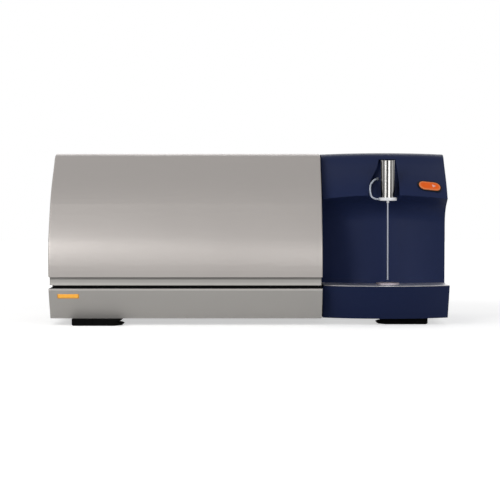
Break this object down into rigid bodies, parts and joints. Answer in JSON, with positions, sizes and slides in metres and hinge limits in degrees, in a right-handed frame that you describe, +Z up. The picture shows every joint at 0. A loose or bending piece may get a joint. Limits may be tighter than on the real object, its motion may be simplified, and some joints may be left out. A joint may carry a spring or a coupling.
{
  "type": "milk analyzer",
  "caption": "Bench-top infrared milk analyser: hinged silver cover over the measuring bay, dark blue sampling unit with bowed front, lift-driven pipette, drip tray and start button.",
  "frame": {"origin": "on the bench, at the middle of the instrument's overall box", "axes": "+X to the instrument's right as seen from the front, +Y to the back, +Z up"},
  "size_m": [0.8544, 0.48, 0.3703],
  "materials": {
    "silver_cover": "fine satin silver paint",
    "grey_rail": "satin grey",
    "base_grey": "satin warm grey powder coat",
    "amber_lens": "translucent amber, lit",
    "circuit_board": "green solder mask",
    "blue_housing": "dark blue, fine texture",
    "blue_base": "dark blue, fine texture",
    "blue_sheet": "dark blue powder coat",
    "zinc_sheet": "plain zinc-plated sheet",
    "tray_steel": "brushed stainless",
    "seat_steel": "turned stainless",
    "polished_tube": "polished",
    "white_plastic": "white",
    "clear_hose": "translucent, pale",
    "grey_plastic": "mid grey",
    "head_plastic": "off-white",
    "needle_steel": "fine ground stainless",
    "carriage_aluminium": "machined, bead blasted",
    "rail_steel": "ground steel",
    "belt_rubber": "black",
    "pulley_aluminium": "machined",
    "motor_black": "black",
    "orange_button": "satin orange",
    "black_plastic": "black",
    "black_rubber": "black",
    "foot_rubber": "black, moulded",
    "rear_sheet": "satin warm grey powder coat",
    "hinge_steel": "zinc-plated",
    "cast_alloy": "as cast",
    "lid_alloy": "milled",
    "source_alloy": "black anodised",
    "cuvette_steel": "ground stainless",
    "detector_black": "black",
    "desiccant_white": "white",
    "pump_steel": "machined stainless",
    "valve_brass": "turned",
    "rotor_white": "off-white",
    "manifold_plastic": "pale grey",
    "rocker_black": "black",
    "port_metal": "nickel plated"
  },
  "bodies": {
    "frame": {"base_pan": "base_grey", "status_light_lens": "amber_lens", "status_light_board": "circuit_board", "sampler_housing": "blue_housing", "sampler_base": "blue_base", "sampler_floor": "zinc_sheet", "sampler_back_plate": "blue_sheet", "guide_tube": "polished_tube", "rinse_collar": "white_plastic", "rinse_hose": "clear_hose", "rinse_fitting": "grey_plastic", "lift_bracket": "zinc_sheet", "lift_rail": "rail_steel", "lift_belt": "belt_rubber", "lift_motor": "motor_black", "button_bezel": "black_plastic", "button_switch": "black_plastic", "side_spacers": "black_rubber", "cable_sleeve": "black_rubber", "feet": "foot_rubber", "deck_plate": "zinc_sheet", "partition_wall": "zinc_sheet", "rear_panel": "rear_sheet", "cover_rests": "black_rubber", "frame_hinge_leaves": "hinge_steel", "hinge_pins": "rail_steel", "interferometer_housing": "cast_alloy", "interferometer_lid": "lid_alloy", "optics_mounts": "black_rubber", "infrared_source": "source_alloy", "cuvette_block": "cuvette_steel", "detector_housing": "detector_black", "desiccant_cartridge": "desiccant_white", "sample_heater": "source_alloy", "pump_block": "pump_steel", "pump_motor": "motor_black", "homogeniser_valve": "valve_brass", "drain_pump_body": "grey_plastic", "valve_manifold": "manifold_plastic", "power_supply": "zinc_sheet", "main_board": "circuit_board", "fan_frame": "black_plastic", "mains_inlet": "black_plastic", "switch_frame": "black_plastic", "data_ports": "port_metal", "tube_bulkheads": "port_metal"},
    "cover": {"service_cover": "silver_cover", "cover_grip_rail": "grey_rail", "lid_hinge_leaves": "hinge_steel"},
    "pipette": {"pipette_head": "head_plastic", "pipette_needle": "needle_steel", "lift_carriage": "carriage_aluminium"},
    "drive_pulley": {"drive_pulley": "pulley_aluminium"},
    "idler_pulley": {"idler_pulley": "pulley_aluminium"},
    "button": {"start_button": "orange_button"},
    "tray": {"drip_tray": "tray_steel", "vial_seat": "seat_steel"},
    "fan_rotor": {"fan_rotor": "black_plastic"},
    "drain_rotor": {"drain_pump_rotor": "rotor_white"},
    "mains_rocker": {"mains_rocker": "rocker_black"}
  },
  "joints": [
    {"name": "cover_swing", "type": "hinge", "parent": "frame", "child": "cover", "pos_m": [-0.1363, 0.231, 0.3547], "axis": [-1, 0, 0], "range_deg": [0, 65]},
    {"name": "pipette_lift", "type": "slide", "parent": "frame", "child": "pipette", "axis": [0, 0, 1], "range_m": [0, 0.058]},
    {"name": "drive_pulley_turn", "type": "hinge", "parent": "frame", "child": "drive_pulley", "pos_m": [0.3265, -0.029, 0.222], "axis": [0, 1, 0], "range_deg": [0, 308]},
    {"name": "idler_pulley_turn", "type": "hinge", "parent": "frame", "child": "idler_pulley", "pos_m": [0.3265, -0.029, 0.352], "axis": [0, 1, 0], "range_deg": [0, 308]},
    {"name": "button_press", "type": "slide", "parent": "frame", "child": "button", "axis": [-0.2859, 0.65, -0.7042], "range_m": [0, 0.0015], "stiffness_N_per_m": 300, "springref_m": -0.003},
    {"name": "tray_lift_out", "type": "slide", "parent": "frame", "child": "tray", "axis": [0, 0, 1], "range_m": [0, 0.0045]},
    {"name": "fan_spin", "type": "hinge", "parent": "frame", "child": "fan_rotor", "pos_m": [-0.25166, 0.2127, 0.2327], "axis": [0, 1, 0], "continuous": true},
    {"name": "drain_pump_spin", "type": "hinge", "parent": "frame", "child": "drain_rotor", "pos_m": [0.08288, -0.11224, 0.1207], "axis": [0, 1, 0], "continuous": true},
    {"name": "mains_switch_rock", "type": "hinge", "parent": "frame", "child": "mains_rocker", "pos_m": [0.03097, 0.226, 0.1227], "axis": [1, 0, 0], "range_deg": [0, 12]}
  ],
  "couplings": [
    {"joint": "drive_pulley_turn", "follows": "pipette_lift", "rad_per_m": 92.593},
    {"joint": "idler_pulley_turn", "follows": "pipette_lift", "rad_per_m": 92.593}
  ]
}
